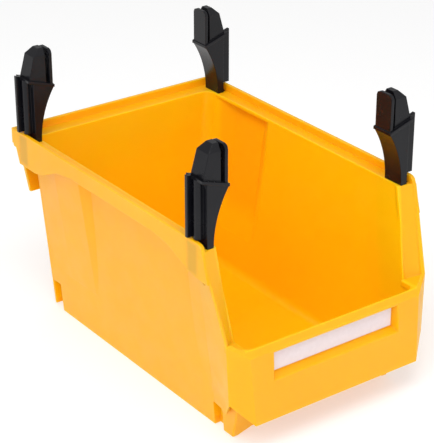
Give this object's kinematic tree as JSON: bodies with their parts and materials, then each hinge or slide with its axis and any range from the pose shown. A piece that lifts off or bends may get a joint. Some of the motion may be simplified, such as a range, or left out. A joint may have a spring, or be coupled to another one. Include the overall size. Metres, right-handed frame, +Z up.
{
  "type": "hanging parts bin",
  "caption": "Open-front plastic parts bin with a tapered tub, a rear hanging hook, a front bumper with a label card, and lift-out stacking posts.",
  "frame": {"origin": "on the standing surface, under the middle of the whole bin's bounding box", "axes": "+Z up, -Y towards the low open front, +Y towards the hanging hook, +X to the right as seen from the front"},
  "size_m": [0.1744, 0.256, 0.2006],
  "materials": {
    "bin": "satin",
    "post": "gloss",
    "card": "matte"
  },
  "bodies": {
    "bin": {"bin_shell": "bin"},
    "card": {"label_card": "card"},
    "front_left": {"front_left_post": "post"},
    "front_right": {"front_right_post": "post"},
    "rear_left": {"rear_left_post": "post"},
    "rear_right": {"rear_right_post": "post"}
  },
  "joints": [
    {"name": "front_left_lift", "type": "slide", "parent": "bin", "child": "front_left", "axis": [0, 0, 1], "range_m": [0, 0.03]},
    {"name": "front_right_lift", "type": "slide", "parent": "bin", "child": "front_right", "axis": [0, 0, 1], "range_m": [0, 0.03]},
    {"name": "rear_left_lift", "type": "slide", "parent": "bin", "child": "rear_left", "axis": [0, 0, 1], "range_m": [0, 0.03]},
    {"name": "rear_right_lift", "type": "slide", "parent": "bin", "child": "rear_right", "axis": [0, 0, 1], "range_m": [0, 0.03]},
    {"name": "card_pull", "type": "slide", "parent": "bin", "child": "card", "axis": [0, -1, 0], "range_m": [0, 0.02]}
  ]
}
